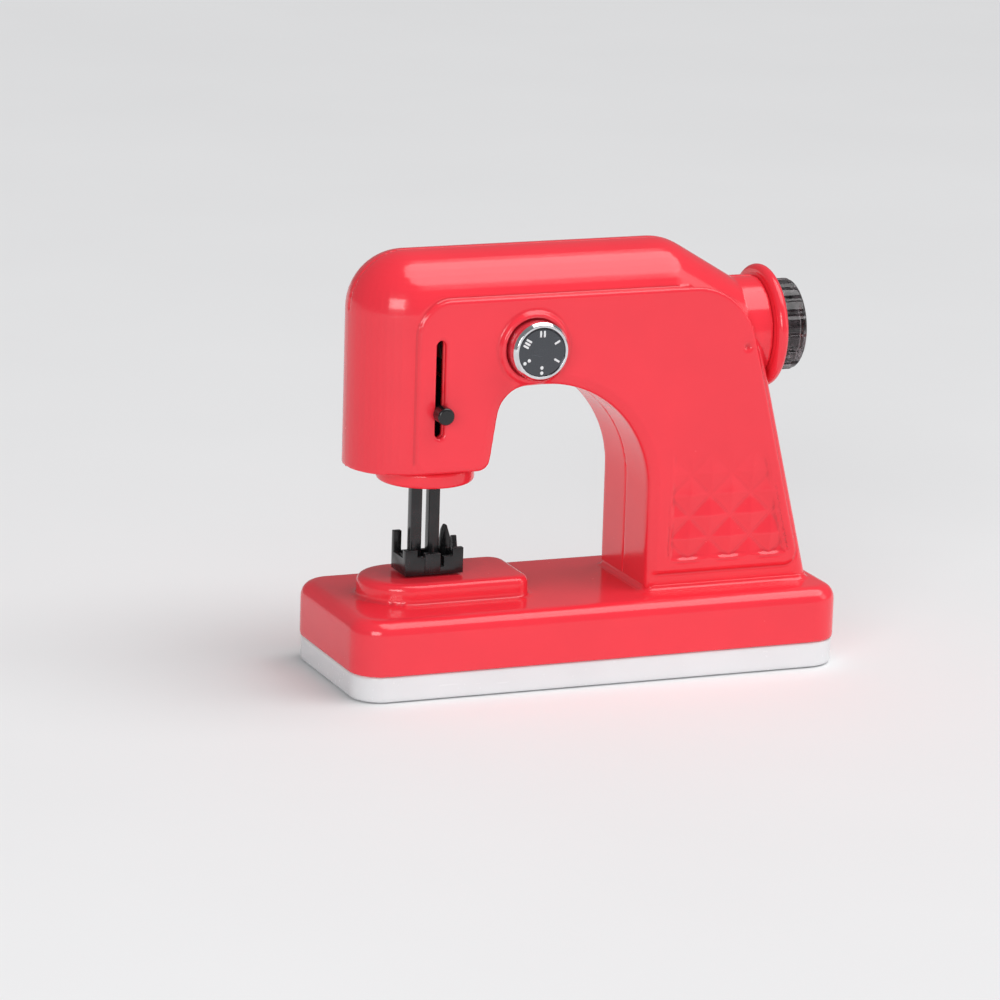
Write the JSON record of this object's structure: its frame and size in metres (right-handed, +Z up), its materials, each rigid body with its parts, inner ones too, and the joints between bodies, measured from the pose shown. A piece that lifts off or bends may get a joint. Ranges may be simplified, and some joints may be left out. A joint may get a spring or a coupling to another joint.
{
  "type": "toy sewing machine",
  "caption": "Toy sewing machine with a hollow arm over an open throat, a hand wheel driving gears and a crank, a sliding foot under the head, a turning dial and a flat base.",
  "frame": {"origin": "middle of the base's underside", "axes": "+X along the arm to the hand wheel, +Y to the back, +Z up"},
  "size_m": [0.21, 0.08, 0.1739],
  "materials": {
    "shell_red": "gloss",
    "cover_white": "gloss",
    "black_plastic": "semi-gloss",
    "chrome_trim": "plated",
    "smoked_clear": "smoked clear plastic",
    "gear_plastic": "satin",
    "bright_steel": "bright",
    "dial_face": "dark mirror"
  },
  "bodies": {
    "machine": {"base_cover": "cover_white", "base_shell": "shell_red", "battery_box": "black_plastic", "battery_door": "cover_white", "battery_contacts": "bright_steel", "door_screw": "bright_steel", "base_screws": "bright_steel", "column_screws": "bright_steel", "rear_jack": "black_plastic", "front_shell": "shell_red", "rear_shell": "shell_red", "shell_screws": "bright_steel", "head_collar": "shell_red", "bar_guide": "black_plastic", "head_bearing": "gear_plastic", "gearbox_left_plate": "gear_plastic", "gearbox_right_plate": "gear_plastic", "gearbox_posts": "gear_plastic", "idler_pin": "bright_steel", "motor_can": "bright_steel", "motor_end_cap": "black_plastic", "rotary_switch": "black_plastic"},
    "drive": {"main_shaft": "bright_steel", "main_gear": "gear_plastic", "crank_disc": "gear_plastic", "crank_pin": "bright_steel", "handwheel": "shell_red", "handwheel_knob": "smoked_clear", "handwheel_cap": "bright_steel"},
    "idler": {"idler_gear": "gear_plastic"},
    "rotor": {"motor_pinion": "gear_plastic", "motor_shaft": "bright_steel"},
    "carriage": {"needle_yoke": "black_plastic", "take_up_lever": "black_plastic", "needle_bar": "black_plastic", "presser_bar": "black_plastic", "presser_foot": "black_plastic"},
    "dial": {"dial_spindle": "bright_steel", "dial_knob": "chrome_trim", "dial_face": "dial_face"}
  },
  "joints": [
    {"name": "drive_spin", "type": "hinge", "parent": "machine", "child": "drive", "pos_m": [0, 0, 0.135], "axis": [1, 0, 0], "continuous": true},
    {"name": "idler_spin", "type": "hinge", "parent": "machine", "child": "idler", "pos_m": [0, 0, 0.1158], "axis": [1, 0, 0], "continuous": true},
    {"name": "rotor_spin", "type": "hinge", "parent": "machine", "child": "rotor", "pos_m": [0, 0, 0.0966], "axis": [1, 0, 0], "continuous": true},
    {"name": "needle_slide", "type": "slide", "parent": "machine", "child": "carriage", "axis": [0, 0, 1], "range_m": [0, 0.024]},
    {"name": "dial_turn", "type": "hinge", "parent": "machine", "child": "dial", "pos_m": [-0.0286, 0, 0.1367], "axis": [0, -1, 0], "range_deg": [-300, 0]}
  ],
  "couplings": [
    {"joint": "idler_spin", "follows": "drive_spin", "ratio": -3},
    {"joint": "rotor_spin", "follows": "drive_spin", "ratio": 9}
  ]
}
